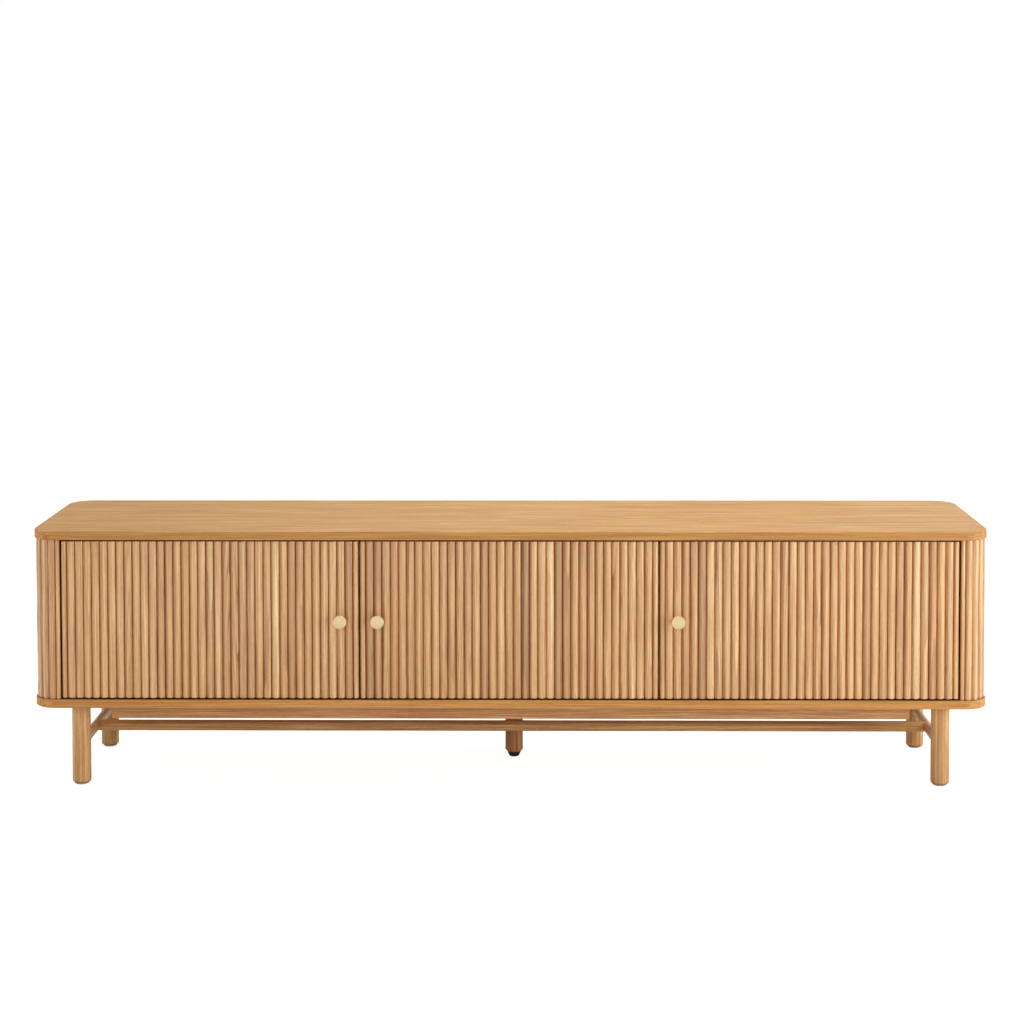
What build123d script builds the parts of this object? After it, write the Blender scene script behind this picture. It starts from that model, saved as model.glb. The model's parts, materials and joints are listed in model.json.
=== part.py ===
from build123d import *
import math
import os

# A long, low media cabinet in oak. Three inset doors and both ends are clad in vertical half-round
# slats. The carcass stands on round legs with round stretchers. The doors turn on pivot hinges.
#
# Millimetres. +X is to the right, +Y to the back, +Z up. The origin is on the floor, under the
# middle of the whole box, knobs included. "side" is -1 for the left and +1 for the right, and
# "row" is -1 for the front and +1 for the back.

os.makedirs("parts", exist_ok=True)

# ---- driving dimensions: carcass ----
width = 2000
depth = 400
height = 548
board = 18
corner_radius = 50
edge_radius = 1.5
carcass_bottom = 176
slat_setback = 2.5
knob_reach = 22.5

front = -(depth - knob_reach + slat_setback) / 2
back = front + depth
middle_y = (front + back) / 2
floor_z = carcass_bottom + board
ceiling_z = height - board
inner_height = ceiling_z - floor_z

# ---- slats ----
slat_depth = 6.5
door_slat_pitch = 17.1
end_slat_pitch = 17
slat_width = 16.4
slat_shoulder = 2.2
slat_front = front + slat_setback
slat_base = slat_front + slat_depth

# ---- doors ----
door_span = 1874
door_gap = 3
door_panel_depth = 15
full_slats = 35
bay = door_span / 3
door_width = bay - door_gap
door_bottom = floor_z + door_gap
door_top = ceiling_z - door_gap
door_height = door_top - door_bottom
door_back = slat_base + door_panel_depth
edge_slat = (door_width - full_slats * door_slat_pitch) / 2
doors = {"left": (-bay, -1), "middle": (0, 1), "right": (bay, 1)}

# ---- pivot hinges ----
pivot_inset = 22
pivot_y = slat_base + door_panel_depth / 2
pin_radius = 3
bush_radius = 5
bush_length = 12
pin_length = 9
collar_radius = 4.5
fit_clearance = 0.05
plate_length = 44
plate_width = 14
plate_depth = 2.5
plate_screw_offset = 15

# ---- knobs ----
knob_radius = 14
knob_head = 5
knob_neck_radius = 5.5
knob_foot_radius = 6.5
knob_seat = 2.4
small_edge = 0.8
knob_z = (door_bottom + door_top) / 2
knob_screw_radius = 1.95
knob_screw_reach = 9
screw_head_radius = 4
screw_head_depth = 2.5

# ---- magnetic catches and strike plates ----
catch_from_edge = 60
catch_size = 12
catch_length = 32
catch_ears = 56
catch_ear_depth = 3
catch_screw_offset = 22
catch_gap = 0.6
strike_length = 30
strike_height = 14
strike_depth = 1.5
strike_peg_radius = 2
strike_peg_length = 6
strike_drop = 3
catch_edge = 1

# ---- ends: corner posts, side panels, end slats ----
post_inner = (door_span + door_gap) / 2
corner_x = width / 2 - corner_radius
base_radius = corner_radius - slat_setback - slat_depth
crown_radius = corner_radius - slat_setback
first_end_slat = 9.6
side_slats_from = 5
side_slats_to = 22
end_slats = 26

# ---- inside ----
divider_x = bay / 2
divider_front = front + 38
back_panel_depth = 9
back_panel_front = back - 30
back_groove = 10
cable_hole_radius = 30
cable_hole_z = 274
shelf_depth = 16
shelf_bottom = knob_z - shelf_depth / 2
shelf_front = front + 52
shelf_back = back - 52
shelf_slack = 1
shelf_pin_radius = 2.5
shelf_pin_half = 8
shelf_pin_pitch = 32
shelf_pin_y = 110

# ---- underframe ----
leg_radius = 19.5
leg_x = 909
leg_y = 139
leg_foot_radius = 5
middle_leg_x = 7
middle_leg_y = middle_y + 65
middle_leg_bottom = 10.5
middle_leg_chamfer = 4.4
glide_radius = 14.5
glide_depth = 3
stretcher_z = 84.8
side_stretcher_radius = 10.5
long_stretcher_radius = 11.6
stretcher_tenon = 10
rail_height = 39
rail_depth = 18
rail_half = 845
rail_from_edge = 65
insert_radius = 6
insert_length = 15
bolt_radius = 4
bolt_in_leg = 40
foot_top_radius = 15
foot_bottom_radius = 11
foot_stem_top = 46
foot_slack = 0.3
levelling_insert_length = 20

# ---- fasteners ----
dowel_radius = 4
dowel_in_panel = 12
dowel_in_post = 18
post_dowel_x = corner_x + 5
post_dowel_y = depth / 2 - corner_radius + 14
upright_dowel_y = 100
rail_dowel_spacing = 600
screw_radius = 1.75
screw_length = 14
screw_cone_radius = 3.5
screw_cone_depth = 2
screw_cone_taper = 40
sink_taper = 30
back_screw_inset = 60
hole_spare = 1

legs = {"front_left": (-1, -1), "front_right": (1, -1), "rear_left": (-1, 1), "rear_right": (1, 1)}


def save(part, name):
    """Label a finished piece and write it to its own file."""
    part.label = name
    export_step(part, f"parts/{name}.step")


def facing(x, y, z, towards):
    """A plane at a point, drawn with X along the cabinet, that faces the back or the front."""
    return Plane(origin=(x, y, z), x_dir=(1, 0, 0), z_dir=(0, towards, 0))


def slat_profile(back_half, shoulder_half):
    """A half-round slat's section: flat back on the X axis, crown towards -Y."""
    with BuildSketch() as profile:
        with BuildLine():
            Polyline(
                (shoulder_half, -slat_shoulder),
                (back_half, 0),
                (-back_half, 0),
                (-shoulder_half, -slat_shoulder),
            )
            ThreePointArc(
                (-shoulder_half, -slat_shoulder),
                (0, -slat_depth),
                (shoulder_half, -slat_shoulder),
            )
        make_face()
    return profile.sketch


def hinge_x(centre, side):
    return centre + side * (door_width / 2 - pivot_inset)


def knob_x(centre, side):
    return centre - side * (door_width / 2 - edge_slat - 1.5 * door_slat_pitch)


def catch_x(centre, side):
    return centre - side * (door_width / 2 - catch_from_edge)


def end_slat_place(side, distance):
    """Where a slat's back touches the end, and its turn, at a distance along the wrap.

    The wrap starts at the door opening, runs to the corner, round it, along the side and round
    the rear corner. Distances are along the slats' crowns.
    """
    flat = corner_x - post_inner
    turn = crown_radius * math.pi / 2
    run = depth - 2 * corner_radius
    if distance < flat:
        return side * (post_inner + distance), slat_base, 0
    if distance < flat + turn:
        angle = (distance - flat) / crown_radius
        middle = front + corner_radius
    elif distance < flat + turn + run:
        y = front + corner_radius + distance - flat - turn
        return side * (corner_x + base_radius), y, side * 90
    else:
        angle = (distance - flat - run) / crown_radius
        middle = back - corner_radius
    x = side * (corner_x + base_radius * math.sin(angle))
    y = middle - base_radius * math.cos(angle)
    return x, y, side * math.degrees(angle)


def end_slat_section(side, distance, cell):
    """One end slat's section in its place; on a corner it narrows towards its back."""
    x, y, turn = end_slat_place(side, distance)
    if turn in (0, side * 90):
        half = slat_width / 2 * cell / end_slat_pitch
        profile = slat_profile(half, half)
    else:
        half = cell / 2 * base_radius / crown_radius - fit_clearance
        flare = slat_shoulder * math.tan(end_slat_pitch / 2 / crown_radius)
        profile = slat_profile(half, half + flare)
    with Locations(Location((x, y, 0), (0, 0, turn))):
        add(profile)


def countersunk_holes(points, z, towards):
    """Cut holes for countersunk wood screws: mouth at z, and going up (+1) or down (-1)."""
    plane = Plane(origin=(0, 0, z), x_dir=(1, 0, 0), z_dir=(0, 0, towards))
    with BuildSketch(plane) as holes:
        with Locations(*[(x, y * towards) for x, y in points]):
            Circle(screw_radius + fit_clearance)
    extrude(holes.sketch, amount=screw_length + fit_clearance, mode=Mode.SUBTRACT)


def dowel_holes(points, z, amount):
    """Cut round dowel holes up (+) or down (-) from a face at height z."""
    with BuildSketch(Plane.XY.offset(z)) as holes:
        with Locations(*points):
            Circle(dowel_radius + fit_clearance)
    extrude(holes.sketch, amount=amount, mode=Mode.SUBTRACT)


# ---- places that several pieces share ----
hinge_points = [(hinge_x(*door), pivot_y) for door in doors.values()]
plate_screw_points = [
    (x + offset, y) for x, y in hinge_points for offset in (-plate_screw_offset, plate_screw_offset)
]
catch_y = door_back + strike_depth + catch_gap + catch_size / 2
catch_points = [(catch_x(*door), catch_y) for door in doors.values()]
catch_screw_points = [
    (x + offset, y) for x, y in catch_points for offset in (-catch_screw_offset, catch_screw_offset)
]
post_dowel_points = [
    (side * post_dowel_x, middle_y + row * post_dowel_y) for side in (-1, 1) for row in (-1, 1)
]
side_dowel_points = [
    (side * (corner_x + base_radius - board / 2), middle_y + row * upright_dowel_y)
    for side in (-1, 1)
    for row in (-1, 1)
]
divider_dowel_points = [
    (side * divider_x, middle_y + row * upright_dowel_y) for side in (-1, 1) for row in (-1, 1)
]
carcass_dowel_points = post_dowel_points + side_dowel_points + divider_dowel_points
rail_y = [front + rail_from_edge + rail_depth / 2, back - rail_from_edge - rail_depth / 2]
rail_dowel_points = [(step * rail_dowel_spacing, y) for y in rail_y for step in (-1, 0, 1)]
leg_points = [(side * leg_x, middle_y + row * leg_y) for side, row in legs.values()]
all_leg_points = leg_points + [(middle_leg_x, middle_leg_y)]
back_screw_points = [
    (side * (divider_x + offset), z)
    for side in (-1, 1)
    for offset in (-board / 4, board / 4)
    for z in (floor_z + back_screw_inset, knob_z, ceiling_z - back_screw_inset)
]

# ---- top panel: rounded outline, pockets for the hinge plates, screw and dowel holes ----
with BuildPart() as top_panel:
    with BuildSketch(Plane((0, middle_y, ceiling_z))):
        RectangleRounded(width, depth, corner_radius)
    extrude(amount=board)
    fillet(top_panel.faces().sort_by(Axis.Z)[-1].edges(), edge_radius)
    fillet(top_panel.faces().sort_by(Axis.Z)[0].edges(), edge_radius)
    with BuildSketch(Plane.XY.offset(ceiling_z)):
        with Locations(*hinge_points):
            SlotOverall(plate_length + 2 * fit_clearance, plate_width + 2 * fit_clearance)
    extrude(amount=plate_depth, mode=Mode.SUBTRACT)
    countersunk_holes(plate_screw_points, ceiling_z, 1)
    countersunk_holes(catch_screw_points, ceiling_z - catch_ear_depth, 1)
    dowel_holes(carcass_dowel_points, ceiling_z, dowel_in_panel)
save(top_panel.part, "top_panel")

# ---- bottom panel: the same outline, with holes below for the leg inserts and rail dowels ----
with BuildPart() as bottom_panel:
    with BuildSketch(Plane((0, middle_y, carcass_bottom))):
        RectangleRounded(width, depth, corner_radius)
    extrude(amount=board)
    fillet(bottom_panel.faces().sort_by(Axis.Z)[-1].edges(), edge_radius)
    fillet(bottom_panel.faces().sort_by(Axis.Z)[0].edges(), edge_radius)
    with BuildSketch(Plane.XY.offset(floor_z)):
        with Locations(*hinge_points):
            SlotOverall(plate_length + 2 * fit_clearance, plate_width + 2 * fit_clearance)
    extrude(amount=-plate_depth, mode=Mode.SUBTRACT)
    countersunk_holes(plate_screw_points, floor_z, -1)
    dowel_holes(carcass_dowel_points, floor_z, -dowel_in_panel)
    dowel_holes(rail_dowel_points, carcass_bottom, dowel_in_panel)
    with BuildSketch(Plane.XY.offset(carcass_bottom)):
        with Locations(*all_leg_points):
            Circle(insert_radius + fit_clearance)
    extrude(amount=insert_length, mode=Mode.SUBTRACT)
save(bottom_panel.part, "bottom_panel")

# ---- corner posts: a quarter-round outer corner; the rear ones are grooved for the back panels ----
for corner, (side, row) in legs.items():
    centre_y = middle_y + row * (depth / 2 - corner_radius)
    inner = corner_x - post_inner
    bulge = base_radius * math.sqrt(0.5)
    with BuildPart() as corner_post:
        with BuildSketch(Plane.XY.offset(floor_z)):
            with BuildLine():
                Polyline(
                    (side * (corner_x + base_radius), centre_y),
                    (side * (corner_x - inner), centre_y),
                    (side * (corner_x - inner), centre_y + row * base_radius),
                    (side * corner_x, centre_y + row * base_radius),
                )
                ThreePointArc(
                    (side * corner_x, centre_y + row * base_radius),
                    (side * (corner_x + bulge), centre_y + row * bulge),
                    (side * (corner_x + base_radius), centre_y),
                )
            make_face()
            if row == 1:
                groove_y = back_panel_front + back_panel_depth / 2
                with Locations((side * post_inner, groove_y)):
                    Rectangle(2 * back_groove, back_panel_depth, mode=Mode.SUBTRACT)
        extrude(amount=inner_height)
        dowel_holes(post_dowel_points, ceiling_z, -dowel_in_post)
        dowel_holes(post_dowel_points, floor_z, dowel_in_post)
    save(corner_post.part, f"corner_post_{corner}")

# ---- shelf pin holes: a short column at each end of a shelf, in side panels and dividers ----
pin_z = shelf_bottom - shelf_pin_radius - fit_clearance
pin_column = [pin_z + step * shelf_pin_pitch for step in (-2, -1, 0, 1, 2)]


def shelf_pin_holes(face_x, into):
    """Cut the pin holes in a wall whose face is at face_x; into is the way in, along X."""
    plane = Plane(origin=(face_x, middle_y, 0), x_dir=(0, 1, 0), z_dir=(into, 0, 0))
    with BuildSketch(plane) as holes:
        with Locations(*[(y, into * z) for y in (-shelf_pin_y, shelf_pin_y) for z in pin_column]):
            Circle(shelf_pin_radius + fit_clearance)
    extrude(holes.sketch, amount=shelf_pin_half, mode=Mode.SUBTRACT)


# ---- side panels, between the front and rear posts ----
for end, side in (("left", -1), ("right", 1)):
    with BuildPart() as side_panel:
        with BuildSketch(Plane((side * (corner_x + base_radius - board / 2), middle_y, floor_z))):
            Rectangle(board, depth - 2 * corner_radius)
        extrude(amount=inner_height)
        shelf_pin_holes(side * (corner_x + base_radius - board), side)
        dowel_holes(side_dowel_points, ceiling_z, -dowel_in_post)
        dowel_holes(side_dowel_points, floor_z, dowel_in_post)
    save(side_panel.part, f"side_panel_{end}")

# ---- dividers between the three bays ----
divider_length = back_panel_front - divider_front
for end, side in (("left", -1), ("right", 1)):
    with BuildPart() as divider:
        with BuildSketch(Plane((side * divider_x, divider_front + divider_length / 2, floor_z))):
            Rectangle(board, divider_length)
        extrude(amount=inner_height)
        shelf_pin_holes(side * divider_x - board / 2, 1)
        shelf_pin_holes(side * divider_x + board / 2, -1)
        dowel_holes(divider_dowel_points, ceiling_z, -dowel_in_post)
        dowel_holes(divider_dowel_points, floor_z, dowel_in_post)
        with BuildSketch(facing(0, back_panel_front, 0, -1)):
            with Locations(*back_screw_points):
                Circle(screw_radius + fit_clearance)
        extrude(amount=screw_length, mode=Mode.SUBTRACT)
    save(divider.part, f"divider_{end}")

# ---- back panels: they meet on the dividers, and the outer two slide into the rear posts ----
back_edges = {
    "left": (-post_inner - back_groove + fit_clearance, -divider_x),
    "middle": (-divider_x, divider_x),
    "right": (divider_x, post_inner + back_groove - fit_clearance),
}
for bay_name, (low, high) in back_edges.items():
    with BuildPart() as back_panel:
        with BuildSketch(facing((low + high) / 2, back_panel_front, floor_z + inner_height / 2, -1)):
            Rectangle(high - low, inner_height)
        extrude(amount=-back_panel_depth)
        with BuildSketch(facing(doors[bay_name][0], back_panel_front, cable_hole_z, -1)):
            Circle(cable_hole_radius)
        extrude(amount=-back_panel_depth, mode=Mode.SUBTRACT)
        with BuildSketch(facing(0, back_panel_front + back_panel_depth, 0, -1)):
            with Locations(*back_screw_points):
                Circle(screw_radius + fit_clearance)
        extrude(amount=back_panel_depth, mode=Mode.SUBTRACT)
        with BuildSketch(facing(0, back_panel_front + back_panel_depth, 0, -1)):
            with Locations(*back_screw_points):
                Circle(screw_cone_radius + fit_clearance)
        extrude(amount=screw_cone_depth, taper=sink_taper, mode=Mode.SUBTRACT)
    save(back_panel.part, f"back_panel_{bay_name}")

# ---- shelves, one a bay, and the pins that they rest on ----
side_wall = corner_x + base_radius - board
bay_walls = {
    "left": (-side_wall, -divider_x - board / 2),
    "middle": (-divider_x + board / 2, divider_x - board / 2),
    "right": (divider_x + board / 2, side_wall),
}
for bay_name, (low, high) in bay_walls.items():
    with BuildPart() as shelf:
        with BuildSketch(Plane(((low + high) / 2, (shelf_front + shelf_back) / 2, shelf_bottom))):
            Rectangle(high - low - 2 * shelf_slack, shelf_back - shelf_front)
        extrude(amount=shelf_depth)
    save(shelf.part, f"shelf_{bay_name}")

with BuildPart() as shelf_pins:
    for low, high in bay_walls.values():
        for wall_x, inwards in ((low, 1), (high, -1)):
            start_x = wall_x - inwards * (shelf_pin_half - fit_clearance)
            plane = Plane(origin=(start_x, middle_y, pin_z), x_dir=(0, 1, 0), z_dir=(inwards, 0, 0))
            with BuildSketch(plane):
                with Locations((-shelf_pin_y, 0), (shelf_pin_y, 0)):
                    Circle(shelf_pin_radius)
            extrude(amount=2 * shelf_pin_half)
save(shelf_pins.part, "shelf_pins")

# ---- end slats: one wrap a side, kept as front corner, side and rear corner ----
for end, side in (("left", -1), ("right", 1)):
    last_start = first_end_slat + end_slats * end_slat_pitch
    wrap_end = corner_x - post_inner + crown_radius * math.pi + depth - 2 * corner_radius
    cells = [(first_end_slat / 2, first_end_slat)]
    cells += [
        (first_end_slat + (n + 0.5) * end_slat_pitch, end_slat_pitch) for n in range(end_slats)
    ]
    cells += [((last_start + wrap_end) / 2, wrap_end - last_start)]
    groups = {
        f"corner_slats_front_{end}": cells[: side_slats_from + 1],
        f"side_slats_{end}": cells[side_slats_from + 1 : side_slats_to + 1],
        f"corner_slats_rear_{end}": cells[side_slats_to + 1 :],
    }
    for name, group in groups.items():
        with BuildPart() as slats:
            with BuildSketch(Plane.XY.offset(floor_z)):
                for distance, cell in group:
                    end_slat_section(side, distance, cell)
            extrude(amount=inner_height)
        save(slats.part, name)

# ---- doors: backing panel, slats, knob and its screw, strike plate, pivot bushes ----
for door_name, (centre, side) in doors.items():
    pivot_x = hinge_x(centre, side)
    grip_x = knob_x(centre, side)
    strike_x = catch_x(centre, side)
    strike_z = ceiling_z - catch_size + strike_height / 2 - strike_drop

    with BuildPart() as door_panel:
        with BuildSketch(Plane((centre, pivot_y, door_bottom))):
            Rectangle(door_width, door_panel_depth)
        extrude(amount=door_height)
        with BuildSketch(Plane.XY.offset(door_bottom)):
            with Locations((pivot_x, pivot_y)):
                Circle(bush_radius + fit_clearance)
        extrude(amount=bush_length, mode=Mode.SUBTRACT)
        with BuildSketch(Plane.XY.offset(door_top)):
            with Locations((pivot_x, pivot_y)):
                Circle(bush_radius + fit_clearance)
        extrude(amount=-bush_length, mode=Mode.SUBTRACT)
        with BuildSketch(facing(grip_x, door_back, knob_z, -1)):
            Circle(knob_screw_radius + fit_clearance)
        extrude(amount=door_panel_depth, mode=Mode.SUBTRACT)
        with BuildSketch(facing(strike_x, door_back, strike_z, -1)):
            Circle(strike_peg_radius + fit_clearance)
        extrude(amount=strike_peg_length + fit_clearance, mode=Mode.SUBTRACT)
    save(door_panel.part, f"door_panel_{door_name}")

    start = centre - door_width / 2
    with BuildPart() as door_slats:
        with BuildSketch(Plane((0, slat_base, door_bottom))):
            edge_half = (edge_slat - door_slat_pitch + slat_width) / 2
            with Locations((start + edge_slat / 2, 0), (start + door_width - edge_slat / 2, 0)):
                add(slat_profile(edge_half, edge_half))
            places = [start + edge_slat + (n + 0.5) * door_slat_pitch for n in range(full_slats)]
            with Locations(*[(x, 0) for x in places]):
                add(slat_profile(slat_width / 2, slat_width / 2))
        extrude(amount=door_height)
        with BuildSketch(facing(grip_x, slat_front, knob_z, 1)):
            Circle(knob_foot_radius + fit_clearance)
        extrude(amount=knob_seat, mode=Mode.SUBTRACT)
        with BuildSketch(facing(grip_x, slat_front, knob_z, 1)):
            Circle(knob_screw_radius + fit_clearance)
        extrude(amount=slat_depth, mode=Mode.SUBTRACT)
    save(door_slats.part, f"door_slats_{door_name}")

    face_y = slat_front - knob_reach
    knob_length = knob_reach + knob_seat
    with BuildPart() as knob:
        with BuildSketch(Plane((grip_x, face_y, knob_z))):
            with BuildLine():
                FilletPolyline(
                    (0, 0),
                    (knob_radius, 0),
                    (knob_radius, knob_head),
                    (knob_neck_radius, knob_head),
                    (knob_neck_radius, knob_head + knob_reach / 2),
                    (knob_foot_radius, knob_length),
                    (0, knob_length),
                    radius=small_edge,
                )
                Line((0, knob_length), (0, 0))
            make_face()
        revolve(axis=Axis((grip_x, face_y, knob_z), (0, 1, 0)))
        with BuildSketch(facing(grip_x, face_y + knob_length, knob_z, -1)):
            Circle(knob_screw_radius + fit_clearance)
        extrude(amount=knob_screw_reach + hole_spare, mode=Mode.SUBTRACT)
    save(knob.part, f"knob_{door_name}")

    screw_length_in = door_back - (face_y + knob_length) + knob_screw_reach
    with BuildPart() as knob_screw:
        with BuildSketch(facing(grip_x, door_back, knob_z, -1)):
            Circle(knob_screw_radius)
        extrude(amount=screw_length_in)
        with BuildSketch(facing(grip_x, door_back, knob_z, 1)):
            Circle(screw_head_radius)
        extrude(amount=screw_head_depth)
        fillet(knob_screw.edges().filter_by(GeomType.CIRCLE).sort_by(Axis.Y)[-1], small_edge)
    save(knob_screw.part, f"knob_screw_{door_name}")

    with BuildPart() as strike_plate:
        with BuildSketch(facing(strike_x, door_back, strike_z, 1)):
            Rectangle(strike_length, strike_height)
        extrude(amount=strike_depth)
        fillet(strike_plate.edges().filter_by(Axis.Y), strike_peg_radius)
        with BuildSketch(facing(strike_x, door_back, strike_z, -1)):
            Circle(strike_peg_radius)
        extrude(amount=strike_peg_length)
    save(strike_plate.part, f"strike_plate_{door_name}")

    with BuildPart() as pivot_bushes:
        with BuildSketch(Plane((pivot_x, pivot_y, door_bottom))):
            Circle(bush_radius)
            Circle(pin_radius + fit_clearance, mode=Mode.SUBTRACT)
        extrude(amount=bush_length)
        with BuildSketch(Plane((pivot_x, pivot_y, door_top))):
            Circle(bush_radius)
            Circle(pin_radius + fit_clearance, mode=Mode.SUBTRACT)
        extrude(amount=-bush_length)
    save(pivot_bushes.part, f"pivot_bushes_{door_name}")

# ---- pivot plates: let in flush, with a pin each; the lower pins have a collar under the door ----
with BuildPart() as pivot_plates:
    for z, inwards in ((floor_z, 1), (ceiling_z, -1)):
        with BuildSketch(Plane.XY.offset(z)):
            with Locations(*hinge_points):
                SlotOverall(plate_length, plate_width)
        extrude(amount=-inwards * plate_depth)
        with BuildSketch(Plane.XY.offset(z)):
            with Locations(*hinge_points):
                Circle(pin_radius)
        extrude(amount=inwards * (door_gap + pin_length))
        with BuildSketch(Plane.XY.offset(z)):
            with Locations(*plate_screw_points):
                Circle(screw_cone_radius + fit_clearance)
        extrude(amount=-inwards * plate_depth, mode=Mode.SUBTRACT)
    with BuildSketch(Plane.XY.offset(floor_z)):
        with Locations(*hinge_points):
            Circle(collar_radius)
    extrude(amount=door_gap - fit_clearance)
save(pivot_plates.part, "pivot_plates")

# ---- magnetic catches under the top panel ----
with BuildPart() as magnetic_catches:
    with BuildSketch(Plane.XY.offset(ceiling_z)):
        with Locations(*catch_points):
            RectangleRounded(catch_ears, catch_size, screw_cone_radius)
    extrude(amount=-catch_ear_depth)
    with BuildSketch(Plane.XY.offset(ceiling_z)):
        with Locations(*catch_points):
            RectangleRounded(catch_length, catch_size, catch_edge)
    extrude(amount=-catch_size)
    with BuildSketch(Plane.XY.offset(ceiling_z)):
        with Locations(*catch_screw_points):
            Circle(screw_cone_radius + fit_clearance)
    extrude(amount=-catch_ear_depth, mode=Mode.SUBTRACT)
save(magnetic_catches.part, "magnetic_catches")


def wood_screw(plane, points):
    """Add countersunk wood screws with their heads flush with a plane, pointing along its normal."""
    with BuildSketch(plane) as shanks:
        with Locations(*points):
            Circle(screw_radius)
    extrude(shanks.sketch, amount=screw_length)
    with BuildSketch(plane) as heads:
        with Locations(*points):
            Circle(screw_cone_radius)
    extrude(heads.sketch, amount=screw_cone_depth, taper=screw_cone_taper)


# ---- wood screws: pivot plates, catches and back panels ----
with BuildPart() as wood_screws:
    wood_screw(Plane.XY.offset(ceiling_z), plate_screw_points)
    wood_screw(Plane.XY.offset(ceiling_z - catch_ear_depth), catch_screw_points)
    down = Plane(origin=(0, 0, floor_z), x_dir=(1, 0, 0), z_dir=(0, 0, -1))
    wood_screw(down, [(x, -y) for x, y in plate_screw_points])
    wood_screw(facing(0, back_panel_front + back_panel_depth, 0, -1), back_screw_points)
save(wood_screws.part, "wood_screws")

# ---- dowels: top and bottom panels to the uprights, rails to the bottom panel, stretcher joints ----
stretcher_dowel_x = leg_x - side_stretcher_radius
with BuildPart() as carcass_dowels:
    for z, inwards in ((ceiling_z, 1), (floor_z, -1)):
        for amount in (inwards * dowel_in_panel, -inwards * dowel_in_post):
            with BuildSketch(Plane.XY.offset(z)):
                with Locations(*carcass_dowel_points):
                    Circle(dowel_radius)
            extrude(amount=amount - math.copysign(fit_clearance, amount))
    for amount in (dowel_in_panel, -dowel_in_post):
        with BuildSketch(Plane.XY.offset(carcass_bottom)):
            with Locations(*rail_dowel_points):
                Circle(dowel_radius)
        extrude(amount=amount - math.copysign(fit_clearance, amount))
    for side in (-1, 1):
        origin = (side * (stretcher_dowel_x + dowel_in_panel), middle_y, stretcher_z)
        with BuildSketch(Plane(origin=origin, x_dir=(0, 1, 0), z_dir=(-side, 0, 0))):
            Circle(dowel_radius)
        extrude(amount=dowel_in_panel + dowel_in_post)
save(carcass_dowels.part, "carcass_dowels")

# ---- rails under the bottom panel ----
for name, y in zip(("rail_front", "rail_rear"), rail_y):
    with BuildPart() as rail:
        with BuildSketch(Plane((0, y, carcass_bottom))):
            Rectangle(2 * rail_half, rail_depth)
        extrude(amount=-rail_height)
        fillet(rail.faces().sort_by(Axis.Z)[0].edges(), edge_radius)
        dowel_holes(rail_dowel_points, carcass_bottom, -dowel_in_post)
    save(rail.part, name)

# ---- corner legs: rounded foot, a hole for the hanger bolt and a socket for the stretcher ----
for corner, (side, row) in legs.items():
    x = side * leg_x
    y = middle_y + row * leg_y
    with BuildPart() as leg:
        with BuildSketch(Plane((x, y, glide_depth))):
            Circle(leg_radius)
        extrude(amount=carcass_bottom - glide_depth)
        fillet(leg.edges().sort_by(Axis.Z)[0], leg_foot_radius)
        with BuildSketch(Plane((x, y, carcass_bottom))):
            Circle(bolt_radius + fit_clearance)
        extrude(amount=-bolt_in_leg, mode=Mode.SUBTRACT)
        socket_floor = y - row * (leg_radius - stretcher_tenon)
        with BuildSketch(facing(x, socket_floor, stretcher_z, -row)):
            Circle(side_stretcher_radius + fit_clearance)
        extrude(amount=leg_radius, mode=Mode.SUBTRACT)
    save(leg.part, f"leg_{corner}")

# ---- side stretchers, front leg to rear leg ----
stretcher_half = leg_y - leg_radius + stretcher_tenon - fit_clearance
for end, side in (("left", -1), ("right", 1)):
    with BuildPart() as side_stretcher:
        with BuildSketch(facing(side * leg_x, middle_y - stretcher_half, stretcher_z, 1)):
            Circle(side_stretcher_radius)
        extrude(amount=2 * stretcher_half)
        inner_face = Plane((side * stretcher_dowel_x, middle_y, stretcher_z), (0, 1, 0), (side, 0, 0))
        with BuildSketch(inner_face):
            Circle(dowel_radius + fit_clearance)
        extrude(amount=dowel_in_panel + fit_clearance, mode=Mode.SUBTRACT)
        with BuildSketch(inner_face):
            Circle(dowel_radius + fit_clearance)
        extrude(amount=-dowel_in_panel, mode=Mode.SUBTRACT)
    save(side_stretcher.part, f"side_stretcher_{end}")

# ---- long stretcher: its ends are coped over the side stretchers ----
with BuildPart() as long_stretcher:
    with BuildSketch(Plane((-leg_x, middle_y, stretcher_z), (0, 1, 0), (1, 0, 0))):
        Circle(long_stretcher_radius)
    extrude(amount=2 * leg_x)
    for side in (-1, 1):
        with BuildSketch(facing(side * leg_x, middle_y - leg_y, stretcher_z, 1)):
            Circle(side_stretcher_radius + fit_clearance)
            with Locations((side * side_stretcher_radius, 0)):
                Rectangle(2 * side_stretcher_radius, 4 * side_stretcher_radius)
        extrude(amount=2 * leg_y, mode=Mode.SUBTRACT)
        with BuildSketch(Plane((side * leg_x, middle_y, stretcher_z), (0, 1, 0), (-side, 0, 0))):
            Circle(dowel_radius + fit_clearance)
        extrude(amount=side_stretcher_radius + dowel_in_post + fit_clearance, mode=Mode.SUBTRACT)
save(long_stretcher.part, "long_stretcher")

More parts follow.
